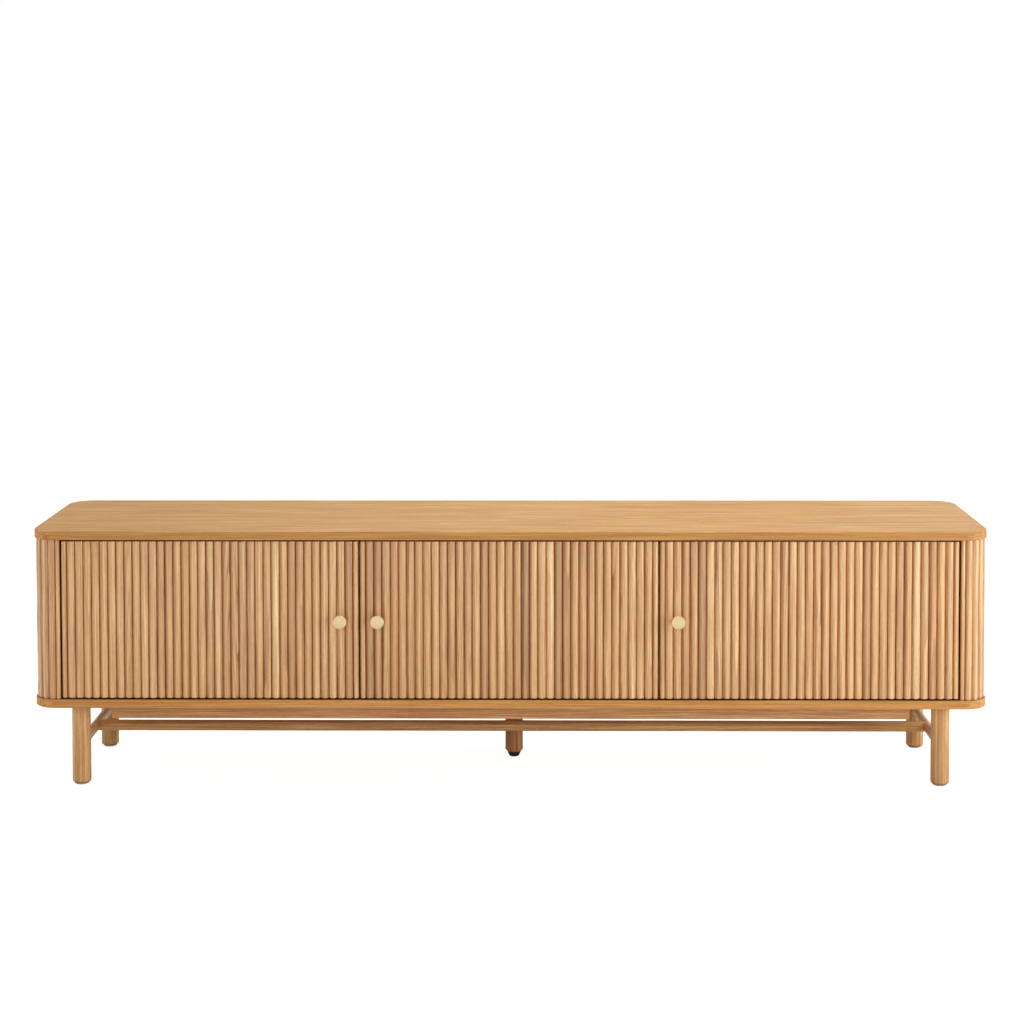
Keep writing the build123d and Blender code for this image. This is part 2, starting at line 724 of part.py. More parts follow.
# ---- middle leg: chamfered foot, holes for the hanger bolt and for the levelling foot ----
with BuildPart() as middle_leg:
    with BuildSketch(Plane((middle_leg_x, middle_leg_y, middle_leg_bottom))):
        Circle(leg_radius)
    extrude(amount=carcass_bottom - middle_leg_bottom)
    chamfer(middle_leg.edges().sort_by(Axis.Z)[0], middle_leg_chamfer)
    with BuildSketch(Plane((middle_leg_x, middle_leg_y, carcass_bottom))):
        Circle(bolt_radius + fit_clearance)
    extrude(amount=-bolt_in_leg, mode=Mode.SUBTRACT)
    with BuildSketch(Plane((middle_leg_x, middle_leg_y, middle_leg_bottom))):
        Circle(insert_radius + fit_clearance)
    extrude(amount=levelling_insert_length, mode=Mode.SUBTRACT)
    with BuildSketch(Plane((middle_leg_x, middle_leg_y, middle_leg_bottom))):
        Circle(bolt_radius + hole_spare)
    extrude(amount=foot_stem_top, mode=Mode.SUBTRACT)
save(middle_leg.part, "middle_leg")

with BuildPart() as levelling_insert:
    with BuildSketch(Plane((middle_leg_x, middle_leg_y, middle_leg_bottom))):
        Circle(insert_radius)
        Circle(bolt_radius + fit_clearance, mode=Mode.SUBTRACT)
    extrude(amount=levelling_insert_length)
save(levelling_insert.part, "levelling_insert")

# ---- levelling foot: a tapered foot on a threaded stem ----
foot_top = middle_leg_bottom - foot_slack
with BuildPart() as levelling_foot:
    with BuildSketch(Plane((middle_leg_x, middle_leg_y, 0), (1, 0, 0), (0, -1, 0))):
        with BuildLine():
            Polyline(
                (0, 0),
                (foot_bottom_radius - small_edge, 0),
                (foot_bottom_radius, small_edge),
                (foot_top_radius, foot_top - small_edge),
                (foot_top_radius - small_edge, foot_top),
                (bolt_radius, foot_top),
                (bolt_radius, foot_stem_top),
                (0, foot_stem_top),
                close=True,
            )
        make_face()
    revolve(axis=Axis((middle_leg_x, middle_leg_y, 0), (0, 0, 1)))
save(levelling_foot.part, "levelling_foot")

# ---- leg inserts in the bottom panel, and the hanger bolts between them and the legs ----
with BuildPart() as leg_inserts:
    with BuildSketch(Plane.XY.offset(carcass_bottom)):
        with Locations(*all_leg_points):
            Circle(insert_radius)
            Circle(bolt_radius + fit_clearance, mode=Mode.SUBTRACT)
    extrude(amount=insert_length - fit_clearance)
save(leg_inserts.part, "leg_inserts")

with BuildPart() as hanger_bolts:
    with BuildSketch(Plane.XY.offset(carcass_bottom - bolt_in_leg + fit_clearance)):
        with Locations(*all_leg_points):
            Circle(bolt_radius)
    extrude(amount=bolt_in_leg + insert_length - hole_spare)
save(hanger_bolts.part, "hanger_bolts")

# ---- glides under the corner legs ----
with BuildPart() as glides:
    with BuildSketch(Plane.XY):
        with Locations(*leg_points):
            Circle(glide_radius)
    extrude(amount=glide_depth)
    fillet(glides.faces().filter_by(Axis.Z).group_by(Axis.Z)[0].edges(), edge_radius / 2)
save(glides.part, "glides")
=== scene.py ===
import json
import math
import random

import bmesh
import bpy
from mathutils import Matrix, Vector


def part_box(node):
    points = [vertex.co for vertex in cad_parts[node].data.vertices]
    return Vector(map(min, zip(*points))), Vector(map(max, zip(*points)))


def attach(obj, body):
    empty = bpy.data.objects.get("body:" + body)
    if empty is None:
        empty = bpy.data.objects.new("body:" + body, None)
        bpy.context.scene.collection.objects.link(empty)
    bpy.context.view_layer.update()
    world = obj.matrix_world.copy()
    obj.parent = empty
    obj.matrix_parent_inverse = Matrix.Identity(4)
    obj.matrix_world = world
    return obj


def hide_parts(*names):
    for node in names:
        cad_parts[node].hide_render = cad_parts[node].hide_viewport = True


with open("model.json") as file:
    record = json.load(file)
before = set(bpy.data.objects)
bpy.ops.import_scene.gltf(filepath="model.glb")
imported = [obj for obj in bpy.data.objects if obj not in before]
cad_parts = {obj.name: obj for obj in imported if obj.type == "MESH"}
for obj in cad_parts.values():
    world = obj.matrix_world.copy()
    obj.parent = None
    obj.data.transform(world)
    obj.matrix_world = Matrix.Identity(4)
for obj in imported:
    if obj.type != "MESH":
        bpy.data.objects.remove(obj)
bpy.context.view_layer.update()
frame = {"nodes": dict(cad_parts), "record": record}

# A long, low oak media cabinet with fluted doors and ends. Everything is in metres, +X to the
# right, +Y to the back, +Z up, and places are read from the CAD nodes.

MM = 0.001
KNOB_FACT = "turned"
SLAT_FACTS = ("slat", "tone", "crown", "wear_and_highlight")
rng = random.Random(7)


# ---------------------------------------------------------------- camera

TOP_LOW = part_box("top_panel")[0]
CAMERA_DISTANCE = 4.066          # from the top panel's front edge
CAMERA_HEIGHT = 1.2866
CAMERA_X = 0.0598
CAMERA_PITCH = math.radians(2.5)
CAMERA_TURN = 0.01277
CAMERA_ROLL = 0.00179
LENS_MM = 69.30
SHIFT_Y = -0.2441


def make_camera():
    data = bpy.data.cameras.new("camera")
    data.lens = LENS_MM
    data.sensor_width = 36
    data.shift_y = SHIFT_Y
    camera = bpy.data.objects.new("camera", data)
    bpy.context.scene.collection.objects.link(camera)
    camera.location = (CAMERA_X, TOP_LOW.y - CAMERA_DISTANCE, CAMERA_HEIGHT)
    camera.rotation_euler = (math.pi / 2 - CAMERA_PITCH, CAMERA_ROLL, CAMERA_TURN)
    bpy.context.scene.camera = camera


# ---------------------------------------------------------------- node helpers


def linear(red, green, blue):
    """A colour given in 0-255 sRGB, as linear RGBA."""
    channels = []
    for value in (red, green, blue):
        value /= 255
        channels.append(value / 12.92 if value <= 0.04045 else ((value + 0.055) / 1.055) ** 2.4)
    return (*channels, 1.0)


class Nodes:
    """A short way to write a shader: each call makes one node and returns one of its outputs."""

    def __init__(self, owner):
        self.owner = owner
        self.owner.use_nodes = True
        self.tree = self.owner.node_tree
        self.tree.nodes.clear()

    def make(self, kind, inputs=None, output=0, **settings):
        node = self.tree.nodes.new(kind)
        for key, value in settings.items():
            setattr(node, key, value)
        for key, value in (inputs or {}).items():
            if isinstance(value, bpy.types.NodeSocket):
                self.tree.links.new(value, node.inputs[key])
            else:
                node.inputs[key].default_value = value
        return node.outputs[output]

    def math(self, operation, a, b=0.0, clamp=False):
        return self.make("ShaderNodeMath", {0: a, 1: b}, operation=operation, use_clamp=clamp)

    def vector(self, operation, a, b):
        return self.make("ShaderNodeVectorMath", {0: a, 1: b}, operation=operation)

    def noise(self, place, scale, detail=2.0, roughness=0.5):
        stretched = self.vector("MULTIPLY", place, scale)
        inputs = {"Vector": stretched, "Scale": 1.0, "Detail": detail, "Roughness": roughness}
        return self.make("ShaderNodeTexNoise", inputs)

    def ramp(self, value, *stops):
        node = self.tree.nodes.new("ShaderNodeValToRGB")
        elements = node.color_ramp.elements
        while len(elements) < len(stops):
            elements.new(0.5)
        for element, (position, level) in zip(elements, stops):
            element.position = position
            element.color = level if hasattr(level, "__len__") else (level, level, level, 1.0)
        self.tree.links.new(value, node.inputs["Fac"])
        return node.outputs["Color"]

    def mix(self, factor, a, b, blend="MIX"):
        inputs = {0: factor, 6: a, 7: b}
        return self.make("ShaderNodeMix", inputs, 2, data_type="RGBA", blend_type=blend)

    def scaled_ramp(self, weight, value, *stops):
        return self.math("MULTIPLY", self.ramp(value, *stops), weight)

    def fact(self, name):
        """A number that the mesh carries at each vertex."""
        return self.make("ShaderNodeAttribute", output=2, attribute_name=name)

    def bump(self, height, strength, distance):
        inputs = {"Height": height, "Strength": strength, "Distance": distance}
        return self.make("ShaderNodeBump", inputs)

    def output(self, kind, shader):
        out = self.tree.nodes.new(kind)
        self.tree.links.new(shader, out.inputs["Surface"])
        return self.owner

    def surface(self, **inputs):
        named = {key.replace("_", " "): value for key, value in inputs.items()}
        shader = self.make("ShaderNodeBsdfPrincipled", named)
        return self.output("ShaderNodeOutputMaterial", shader)


# ---------------------------------------------------------------- wood

WHITE = (1.0, 1.0, 1.0, 1.0)
AXES = {"X": 0, "Y": 1, "Z": 2}

# Oak's colours: early wood, the streaks in it, late wood and rays, then their shade on each piece.
OAK = (linear(220, 174, 118), linear(194, 140, 82), linear(158, 100, 48), linear(238, 202, 152))
SLAT_SHADE = (0.98, 1.03, 1.03)
SOLID_SHADE = (1.07, 1.16, 1.17)
# Painted shade: the middle leg, under the cabinet, is coloured darker than the other legs.
MIDDLE_LEG_PAINTED_SHADE = (0.72, 0.60, 0.52)
# Painted shade: the rails under the cabinet are coloured darker and redder than the other solid oak.
RAIL_PAINTED_SHADE = (0.98, 0.92, 0.84)
VENEER_SHADE = (0.84, 0.82, 0.62)
TOP_LIPPING_SHADE = (0.77, 0.67, 0.41)
# Painted light: the bottom panel's lipping is coloured lighter than the top panel's.
LOW_LIPPING_PAINTED_LIGHT = (0.88, 0.77, 0.49)
PORE_SHADE = linear(120, 72, 36)
# Pale wear with painted highlight along boards' eased edges, and painted highlight on the slats' eased
# ends.
EDGE_WEAR_AND_HIGHLIGHT = linear(236, 200, 150)
EDGE_BAND = linear(188, 138, 78)
# Painted shade low in the slats' grooves, then painted highlight on their crowns.
GROOVE_PAINTED_SHADE = linear(128, 70, 32)
CROWN_PAINTED_HIGHLIGHT = linear(242, 216, 170)

# Painted shade: what the wood's colour is multiplied by where little light gets in: in deep
# hollows and in shallow ones, then at the bottom of a flute and half way up it.
HOLLOW_PAINTED_SHADE = (0.02, 0.008, 0.005, 1.0)
CREVICE_PAINTED_SHADE = (0.98, 0.82, 0.64, 1.0)
FLUTE_PAINTED_SHADE = (1.00, 0.52, 0.26, 1.0)
FLANK_PAINTED_SHADE = (1.00, 0.71, 0.47, 1.0)

# Slats are cut from many boards: some brown, some golden, some pale.
SLAT_TONES = (
    (0.00, (0.64, 0.50, 0.37, 1.0)),
    (0.20, (0.88, 0.75, 0.61, 1.0)),
    (0.42, (0.94, 0.92, 0.88, 1.0)),
    (0.60, (1.05, 1.04, 1.02, 1.0)),
    (0.80, (1.02, 1.03, 1.05, 1.0)),
    (1.00, (1.18, 1.32, 1.55, 1.0)),
)

# Marks in the grain: how often they change along it and across it, per metre, then the noise's
# detail and roughness.
WANDER = (3.5, 26, 3.0, 0.55)
STREAKS = (2.6, 120, 4.0, 0.62)
VEINS = (5, 330, 3.0, 0.6)
FIBRES = (12, 800, 2.0, 0.6)
FLECKS = (160, 330, 1.0, 0.5)
PORES = (75, 1700, 1.0, 0.5)
LIPPING_SPECKS = (420, 420, 900)

RING_PROFILE = ((0.0, 0.0), (0.5, 0.15), (0.84, 1.0), (0.95, 0.9), (1.0, 0.0))
RING_TONE_SCALE = (0.45, 1, 1)
LEAN_RATE = 2.3
GRAIN_DEPTH = 0.2 * MM
EDGE_WEAR_AND_HIGHLIGHT_RADIUS = 1.2 * MM
HOLLOW_REACH = 20 * MM
SEED_STEPS = (1.37, 2.11, 0.73)      # how far each seed moves a piece through the log
SEED_SPAN = 3
SLAT_STEPS = (3.7, 5.3, 7.9)         # the same, from slat to slat
LIVELY_RATE = 37.0

# The settings of wood() for each kind of piece.
FROM_LOG = {"spacing": 0.0035, "heart": 0.03, "figure": 0.45}
FROM_SHEET = {"spacing": 0.006, "heart": 0.09}
SOLID = {**FROM_LOG, "shade": SOLID_SHADE, "gloss": 0.35, "veins": 0.55}
MIDDLE_LEG_IN_PAINTED_SHADE = {**FROM_LOG, "shade": MIDDLE_LEG_PAINTED_SHADE, "gloss": 0.35, "veins": 0.6}
RAIL_IN_PAINTED_SHADE = {**FROM_LOG, "shade": RAIL_PAINTED_SHADE, "gloss": 0.2, "veins": 0.6}
INNER_BOARD = {**FROM_SHEET, "shade": SOLID_SHADE, "figure": 0.3, "gloss": 0.12, "veins": 0.35}
VENEER = {**FROM_SHEET, "shade": VENEER_SHADE, "figure": 0.22, "gloss": 0.05, "veins": 0.5}
SLAT = {
    "spacing": 0.0042, "heart": 0.022, "figure": 0.8,
    "shade": SLAT_SHADE, "gloss": 0.9, "veins": 0.62,
}


def marks(n, place, axis, kind):
    along, across, detail, roughness = kind
    scale = [across, across, across]
    scale[AXES[axis]] = along
    return n.noise(place, scale, detail, roughness)


def shaded(colour, shade):
    return tuple(c * k for c, k in zip(colour, shade)) + (1.0,)


def log_rings(n, place, axis, spacing, heart):
    """How much late wood there is at a place, and a slow change of tone from ring to ring.

    The rings are those of a log whose heart lies off the piece and leans across it, so flat
    faces show cathedrals and straight lines, and ends show arcs.
    """
    split = n.tree.nodes.new("ShaderNodeSeparateXYZ")
    n.tree.links.new(place, split.inputs[0])
    run = split.outputs[AXES[axis]]
    first, second = [split.outputs[i] for i in range(3) if i != AXES[axis]]
    wander = n.math("SUBTRACT", marks(n, place, axis, WANDER), 0.5)
    lean = n.math("MULTIPLY", n.math("SINE", n.math("MULTIPLY", run, LEAN_RATE)), heart * 1.1)
    u = n.math("ADD", n.math("SUBTRACT", n.math("PINGPONG", first, heart * 2), heart), lean)
    v = n.math("ADD", n.math("PINGPONG", second, heart * 2), heart * 0.6)
    radius = n.math("SQRT", n.math("ADD", n.math("MULTIPLY", u, u), n.math("MULTIPLY", v, v)))
    radius = n.math("ADD", n.math("DIVIDE", radius, spacing), n.math("MULTIPLY", wander, 2.6))
    late = n.ramp(n.math("FRACT", radius), *RING_PROFILE)
    ring_tone = n.noise(n.make("ShaderNodeCombineXYZ", {0: radius}), RING_TONE_SCALE, 1.0)
    return n.math("MULTIPLY", late, n.math("ADD", ring_tone, 0.35))


def slat_tones_shade_and_highlight(n, base):
    """The slats' own tones, painted shade low in their grooves, painted highlight on their crowns, and
    the painted highlight on their eased ends.
    """
    crown = n.fact("crown")
    base = n.mix(1.0, base, n.ramp(n.fact("tone"), *SLAT_TONES), "MULTIPLY")
    # Painted shade towards the grooves, then painted highlight on the crowns.
    base = n.mix(n.ramp(crown, (0.0, 0.5), (0.4, 0.16), (0.75, 0.0)), base, GROOVE_PAINTED_SHADE)
    base = n.mix(n.ramp(crown, (0.80, 0.0), (1.0, 0.25)), base, CROWN_PAINTED_HIGHLIGHT)
    return base, n.math("MULTIPLY", n.fact("wear_and_highlight"), 0.8)


def edge_wear_and_highlight(n):
    """Where a board's eased edges are painted pale, partly as rubbed wear and partly as painted
    highlight: a rounded normal there leaves the face's own.
    """
    eased = n.make("ShaderNodeBevel", {"Radius": EDGE_WEAR_AND_HIGHLIGHT_RADIUS}, samples=3)
    inputs = {0: eased, 1: n.make("ShaderNodeNewGeometry", output=1)}
    facing = n.make("ShaderNodeVectorMath", inputs, 1, operation="DOT_PRODUCT")
    return n.ramp(facing, (0.90, 0.35), (0.985, 0.0))


def wood(name, axis, seed, shade, spacing, heart, figure, gloss, veins, per_slat=False, lipping=None):
    """Oak with its grain along an axis.

    spacing is the rings' distance and heart the distance of the log's heart, in metres; figure is
    how strongly the rings show. gloss is the weight of the clear lacquer, veins how strongly the
    fine lines show, and lipping the shade of a veneered board's edges, which also makes it matt.
    """
    n = Nodes(bpy.data.materials.new(name))
    pale, streaked, late_wood, glossy = (shaded(colour, shade) for colour in OAK)
    place = n.make("ShaderNodeTexCoord", output=3)
    place = n.vector("ADD", place, tuple(seed * step % SEED_SPAN for step in SEED_STEPS))
    if per_slat:
        slat = n.fact("slat")
        spread = n.make("ShaderNodeCombineXYZ", {0: slat, 1: slat, 2: slat})
        place = n.vector("ADD", place, n.vector("MULTIPLY", spread, SLAT_STEPS))
        lively = n.math("FRACT", n.math("MULTIPLY", slat, LIVELY_RATE))
        figure = n.math("MULTIPLY", n.math("POWER", lively, 2.2), figure * 1.5)
        figure = n.math("ADD", figure, 0.12)

    rings = n.math("MULTIPLY", log_rings(n, place, axis, spacing, heart), figure, True)
    streak, vein, fibre, fleck, pore = (
        marks(n, place, axis, kind) for kind in (STREAKS, VEINS, FIBRES, FLECKS, PORES)
    )
    pores = n.ramp(pore, (0.62, 0.0), (0.70, 1.0))
    base = n.mix(n.ramp(streak, (0.36, 0.0), (0.64, 1.0)), pale, streaked)
    base = n.mix(n.scaled_ramp(veins, vein, (0.52, 0.0), (0.61, 1.0)), base, late_wood)
    base = n.mix(n.scaled_ramp(veins, vein, (0.39, 1.0), (0.47, 0.0)), base, glossy)
    base = n.mix(rings, base, late_wood)
    base = n.mix(n.scaled_ramp(0.30, fibre, (0.45, 0.0), (0.75, 1.0)), base, late_wood)
    base = n.mix(n.scaled_ramp(0.22, fleck, (0.55, 0.0), (0.72, 1.0)), base, pale)
    base = n.mix(n.math("MULTIPLY", pores, 0.38), base, PORE_SHADE)
    if per_slat:
        base, wear_and_highlight = slat_tones_shade_and_highlight(n, base)
    else:
        wear_and_highlight = edge_wear_and_highlight(n)
    # Pale wear and painted highlight on eased edges, painted highlight on the slats' eased ends.
    base = n.mix(wear_and_highlight, base, EDGE_WEAR_AND_HIGHLIGHT)

    facing_up = n.make("ShaderNodeSeparateXYZ", {0: n.make("ShaderNodeNewGeometry", output=1)}, 2)
    level = n.ramp(n.math("ABSOLUTE", facing_up), (0.55, 0.0), (0.75, 1.0))
    if lipping:
        change = tuple(b / a for a, b in zip(shade, lipping)) + (1.0,)
        speckle = n.ramp(n.noise(place, LIPPING_SPECKS, 1.0), (0.45, 0.0), (0.7, 0.6))
        edge_band = n.mix(speckle, n.mix(1.0, base, change, "MULTIPLY"), EDGE_BAND)
        base = n.mix(level, edge_band, base)
    # Painted shade: the colour darkens where occlusion finds little open space, in gaps, hollows and
    # the slats' flutes.
    open_to_light = n.make("ShaderNodeAmbientOcclusion", {"Distance": HOLLOW_REACH}, 1, samples=4)
    painted_hollow_shade = n.ramp(open_to_light, (0.22, HOLLOW_PAINTED_SHADE), (0.42, CREVICE_PAINTED_SHADE), (0.75, WHITE))
    if per_slat:
        painted_flute_shade = n.ramp(open_to_light, (0.02, FLUTE_PAINTED_SHADE), (0.40, FLANK_PAINTED_SHADE), (0.88, WHITE))
        painted_hollow_shade = n.mix(level, painted_flute_shade, painted_hollow_shade)
    base = n.mix(1.0, base, painted_hollow_shade, "MULTIPLY")

    least_rough, specular = (0.50, 0.5) if lipping else (0.33, 0.7)
    rough = n.math("ADD", n.math("MULTIPLY", streak, 0.14), least_rough)
    rough = n.math("ADD", rough, n.math("MULTIPLY", pores, 0.2))
    height = n.math("SUBTRACT", n.math("MULTIPLY", fibre, 0.4), n.math("MULTIPLY", pores, 0.9))
    normal = n.bump(height, 0.30, GRAIN_DEPTH)
    return n.surface(Base_Color=base, Roughness=rough, Normal=normal, Specular_IOR_Level=specular,
                     Coat_Weight=gloss, Coat_Roughness=0.24)


# ---------------------------------------------------------------- metal and plastic

BRASS = (linear(242, 230, 192), linear(222, 206, 160), linear(196, 172, 118))
STEEL = (linear(190, 192, 194), linear(150, 152, 155))
PLASTICS = {
    "nylon": (linear(232, 230, 220), linear(214, 210, 198)),
    "catch_plastic": (linear(110, 74, 46), linear(84, 54, 32)),
    "foot_black": (linear(26, 25, 25), linear(14, 14, 14)),
    "glide_grey": (linear(205, 202, 196), linear(178, 174, 168)),
}
SCRATCH_DEPTH = 0.1 * MM


def brass(name):
    """Turned brass: fine rings from the lathe, and a faint mottling."""
    n = Nodes(bpy.data.materials.new(name))
    bright, dull, mottled = BRASS
    place = n.make("ShaderNodeTexCoord", output=3)
    cloud = n.noise(place, (90, 90, 90), 2.0)
    rings = n.noise(n.make("ShaderNodeCombineXYZ", {0: n.fact(KNOB_FACT)}), (5200, 1, 1), 3.0, 0.7)
    mottle = n.noise(place, (700, 700, 700), 2.0)
    base = n.mix(cloud, bright, dull)
    base = n.mix(n.scaled_ramp(0.35, mottle, (0.45, 0.0), (0.7, 1.0)), base, mottled)
    rough = n.math("ADD", n.math("MULTIPLY", n.math("ADD", rings, mottle), 0.14), 0.20)
    normal = n.bump(rings, 0.25, SCRATCH_DEPTH)
    return n.surface(Base_Color=base, Metallic=1.0, Roughness=rough, Normal=normal)


def steel(name):
    n = Nodes(bpy.data.materials.new(name))
    place = n.make("ShaderNodeTexCoord", output=3)
    cloud = n.noise(place, (300, 300, 300), 3.0)
    base = n.mix(cloud, *STEEL)
    rough = n.math("ADD", n.math("MULTIPLY", cloud, 0.25), 0.25)
    normal = n.bump(cloud, 0.1, SCRATCH_DEPTH)
    return n.surface(Base_Color=base, Metallic=1.0, Roughness=rough, Normal=normal)


def plastic(name, bright, dull):
    n = Nodes(bpy.data.materials.new(name))
    place = n.make("ShaderNodeTexCoord", output=3)
    cloud = n.noise(place, (60, 60, 60), 3.0)
    grain = n.noise(place, (1800, 1800, 1800), 1.0)
    base = n.mix(cloud, bright, dull)
    rough = n.math("ADD", n.math("MULTIPLY", grain, 0.2), 0.42)
    normal = n.bump(grain, 0.2, SCRATCH_DEPTH)
    return n.surface(Base_Color=base, Roughness=rough, Normal=normal)


# ---------------------------------------------------------------- finishes of the CAD nodes

SLOT_OF = {entry["node"]: entry["material_slot"] for entry in frame["record"]["subparts"]}
GRAIN_AXIS = {
    "leg": "Z",
    "middle_leg": "Z",
    "corner_post": "Z",
    "side_panel": "Z",
    "divider": "Z",
    "side_stretcher": "Y",
}


def grain_axis(node):
    for start, axis in GRAIN_AXIS.items():
        if node.startswith(start):
            return axis
    return "X"


def wood_settings(node, slot):
    """The settings of a wooden piece, or nothing if it isn't of wood."""
    if slot == "oak_veneer":
        # The bottom panel's lipping is painted lighter than the top's, as painted light.
        lipping = LOW_LIPPING_PAINTED_LIGHT if node == "bottom_panel" else TOP_LIPPING_SHADE
        return {**VENEER, "lipping": lipping}
    # The middle leg gets a darker colour as painted shade.
    if node == "middle_leg":
        return MIDDLE_LEG_IN_PAINTED_SHADE
    if slot == "inner_oak":
        return INNER_BOARD
    # The rails get a darker, redder colour as painted shade.
    if node.startswith("rail"):
        return RAIL_IN_PAINTED_SHADE
    if slot in ("oak_solid", "dowel_beech"):
        return SOLID
    return None


def finish_for(node, slot, seed):
    name = "finish_" + node
    settings = wood_settings(node, slot)
    if settings:
        return wood(name, grain_axis(node), seed, **settings)
    if slot == "brass":
        return brass(name)
    if slot in PLASTICS:
        return plastic(name, *PLASTICS[slot])
    return steel(name)


def finish_cad_nodes():
    for seed, (node, piece) in enumerate(sorted(frame["nodes"].items())):
        material = finish_for(node, SLOT_OF[node], seed + 1)
        piece.data.materials.clear()
        piece.data.materials.append(material)


# ---------------------------------------------------------------- slats

SLAT_ARC_STEPS = 14
SLAT_SHOULDER = 2.2 * MM
SLAT_WIDTH = 16.4 * MM
SLAT_END_RINGS = ((0.0, 1.1), (0.5, 0.5), (1.3, 0.15), (2.4, 0.0))   # mm from the end, mm inset
TONE_MIDDLE, TONE_SPREAD = 0.5, 0.30
SHARP_ANGLE = math.radians(38)


def slat_outline(half_back, half_shoulder, deep):
    """A half-round section, from one back corner round the crown to the other."""
    rise = deep - SLAT_SHOULDER
    radius = (half_shoulder**2 + rise**2) / (2 * rise)
    reach = math.asin(min(1.0, half_shoulder / radius))
    if rise > radius:
        reach = math.pi - reach
    points = [(-half_back, 0.0)]
    for step in range(SLAT_ARC_STEPS + 1):
        angle = -reach + 2 * reach * step / SLAT_ARC_STEPS
        points.append((radius * math.sin(angle), deep - radius + radius * math.cos(angle)))
    points.append((half_back, 0.0))
    return points


def add_slat(mesh, layers, base, outward, low, high, half_back, half_shoulder, deep):
    """One slat: a section swept from low to high, its ends eased in small steps."""
    across = Vector((-outward.y, outward.x, 0))
    identity = rng.random()
    tone = min(1.0, max(0.0, rng.gauss(TONE_MIDDLE, TONE_SPREAD)))
    outline = slat_outline(half_back, half_shoulder, deep)
    levels = [(low + rise * MM, inset) for rise, inset in SLAT_END_RINGS]
    levels += [(high - rise * MM, inset) for rise, inset in reversed(SLAT_END_RINGS)]
    rings = []
    for z, inset in levels:
        shrink_x = (half_shoulder - inset * MM) / half_shoulder
        shrink_y = (deep - inset * MM) / deep
        ring = []
        for x, y in outline:
            point = base + across * (x * shrink_x) + outward * (y * shrink_y)
            vertex = mesh.verts.new((point.x, point.y, z))
            vertex[layers["slat"]] = identity
            vertex[layers["tone"]] = tone
            vertex[layers["crown"]] = y / deep
            # How far the end is eased in, which wood() paints as highlight on the slat's end.
            vertex[layers["wear_and_highlight"]] = inset
            ring.append(vertex)
        rings.append(ring)
    for lower, upper in zip(rings, rings[1:]):
        for i in range(len(lower)):
            j = (i + 1) % len(lower)
            mesh.faces.new((lower[i], lower[j], upper[j], upper[i]))
    mesh.faces.new(list(reversed(rings[0])))
    mesh.faces.new(rings[-1])


def finish_mesh(mesh, name, body, material):
    bmesh.ops.recalc_face_normals(mesh, faces=mesh.faces)
    data = bpy.data.meshes.new(name)
    mesh.to_mesh(data)
    mesh.free()
    data.shade_smooth()
    data.set_sharp_from_angle(angle=SHARP_ANGLE)
    piece = bpy.data.objects.new(name, data)
    bpy.context.scene.collection.objects.link(piece)
    data.materials.append(material)
    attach(piece, body)
    return piece


def new_slat_mesh():
    mesh = bmesh.new()
    return mesh, {fact: mesh.verts.layers.float.new(fact) for fact in SLAT_FACTS}


def slat_material(name, seed):
    return wood(name, "Z", seed, **SLAT, per_slat=True)


DOOR_PITCH = 17.1 * MM
FULL_SLATS = 35
DOOR_SEED = 3

# How much slats differ in width, place and height of the crown.
WIDTH_SPREAD = 0.12
PLACE_SPREAD = 0.1
DOOR_DEPTH_SPREAD = 0.15
END_DEPTH_SPREAD = 0.12


def make_door_slats(door):
    """The slats of one door, in the place of the CAD node's plain ones."""
    node = "door_slats_" + door
    low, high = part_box(node)
    panel_low, panel_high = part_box("door_panel_" + door)
    width = panel_high.x - panel_low.x
    edge = (width - FULL_SLATS * DOOR_PITCH) / 2
    cells = [edge] + [DOOR_PITCH] * FULL_SLATS + [edge]
    mesh, layers = new_slat_mesh()
    x = panel_low.x
    for cell in cells:
        half = (cell - DOOR_PITCH + SLAT_WIDTH) / 2 - rng.uniform(0, WIDTH_SPREAD) * MM
        nudge = rng.uniform(-PLACE_SPREAD, PLACE_SPREAD) * MM
        base = Vector((x + cell / 2 + nudge, high.y, 0))
        deep = high.y - low.y - rng.uniform(0, DOOR_DEPTH_SPREAD) * MM
        add_slat(mesh, layers, base, Vector((0, -1, 0)), low.z, high.z, half, half, deep)
        x += cell
    material = slat_material("slats_" + door, DOOR_SEED)
    piece = finish_mesh(mesh, "fluting_" + door, "door_" + door, material)
    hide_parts(node)


END_PITCH = 17.0 * MM
FIRST_END_SLAT = 9.6 * MM
FULL_END_SLATS = 26
END_SEED = 5
CURVED_GAP = 0.05 * MM
GROUPS = {"corner_slats_front": (0, 6), "side_slats": (6, 23), "corner_slats_rear": (23, 28)}


